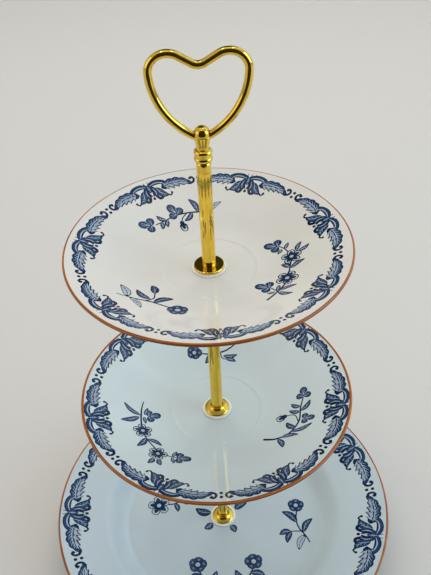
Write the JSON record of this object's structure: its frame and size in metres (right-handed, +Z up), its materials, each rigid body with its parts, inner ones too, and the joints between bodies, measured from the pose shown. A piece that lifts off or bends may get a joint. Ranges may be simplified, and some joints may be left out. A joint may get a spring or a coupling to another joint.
{
  "type": "tiered cake stand",
  "caption": "Tiered cake stand with glazed plates of rising size on a slim gilt spindle, carried by a heart-shaped wire handle.",
  "frame": {"origin": "on the table plane, on the spindle's axis, under the middle of the bottom plate's foot ring", "axes": "+Z up along the spindle towards the handle; the heart lies in the XZ plane; +Y is away from the side the stand is seen from"},
  "size_m": [0.24, 0.24, 0.3708],
  "materials": {
    "gilt_brass": "polished gold-plated brass",
    "zinc_steel": "bright zinc-plated steel",
    "white_plastic": "smooth moulded nylon",
    "ivory_glaze": "clear gloss glaze over white earthenware with cobalt underglaze decoration",
    "grey_blue_glaze": "clear gloss glaze over white earthenware with cobalt underglaze decoration",
    "blue_glaze": "clear gloss glaze over white earthenware with cobalt underglaze decoration",
    "cobalt_decoration": "cobalt blue underglaze decoration under clear gloss glaze, on the plates' upper faces",
    "rust_rim_line": "rust-brown painted line round the lip of each plate, under clear gloss glaze"
  },
  "bodies": {
    "bottom_plate": {"bottom_plate": "blue_glaze", "bottom_lower_washer": "white_plastic"},
    "lower_spindle": {"lower_rod": "gilt_brass", "lower_rod_flange": "gilt_brass", "lower_rod_top_insert": "zinc_steel", "lower_rod_bottom_insert": "zinc_steel", "bottom_upper_washer": "white_plastic", "base_metal_washer": "zinc_steel", "base_screw": "zinc_steel", "middle_lower_washer": "white_plastic"},
    "middle_plate": {"middle_plate": "grey_blue_glaze"},
    "middle_washer": {"middle_upper_washer": "white_plastic"},
    "middle_spindle": {"middle_rod": "gilt_brass", "middle_rod_flange": "gilt_brass", "middle_rod_stud": "zinc_steel", "middle_rod_insert": "zinc_steel", "top_lower_washer": "white_plastic"},
    "top_plate": {"top_plate": "ivory_glaze"},
    "top_washer": {"top_upper_washer": "white_plastic"},
    "handle": {"upper_rod": "gilt_brass", "upper_rod_flange": "gilt_brass", "upper_rod_stud": "zinc_steel", "handle_ferrule": "gilt_brass", "heart_loop": "gilt_brass"}
  },
  "joints": [
    {"name": "stand_turn", "type": "hinge", "parent": "bottom_plate", "child": "lower_spindle", "pos_m": [0, 0, 0.0085], "axis": [0, 0, 1], "continuous": true},
    {"name": "middle_plate_turn", "type": "hinge", "parent": "lower_spindle", "child": "middle_plate", "pos_m": [0, 0, 0.1305], "axis": [0, 0, 1], "continuous": true},
    {"name": "middle_rod_rise", "type": "slide", "parent": "lower_spindle", "child": "middle_washer", "axis": [0, 0, 1], "range_m": [0, 0.0077]},
    {"name": "middle_rod_unscrew", "type": "hinge", "parent": "middle_washer", "child": "middle_spindle", "pos_m": [0, 0, 0.1315], "axis": [0, 0, 1], "range_deg": [0, 3960]},
    {"name": "top_plate_turn", "type": "hinge", "parent": "middle_spindle", "child": "top_plate", "pos_m": [0, 0, 0.2473], "axis": [0, 0, 1], "continuous": true},
    {"name": "handle_rise", "type": "slide", "parent": "middle_spindle", "child": "top_washer", "axis": [0, 0, 1], "range_m": [0, 0.0077]},
    {"name": "handle_unscrew", "type": "hinge", "parent": "top_washer", "child": "handle", "pos_m": [0, 0, 0.2483], "axis": [0, 0, 1], "range_deg": [0, 3960]}
  ],
  "couplings": [
    {"joint": "middle_rod_unscrew", "follows": "middle_rod_rise", "rad_per_m": 8976},
    {"joint": "handle_unscrew", "follows": "handle_rise", "rad_per_m": 8976}
  ]
}
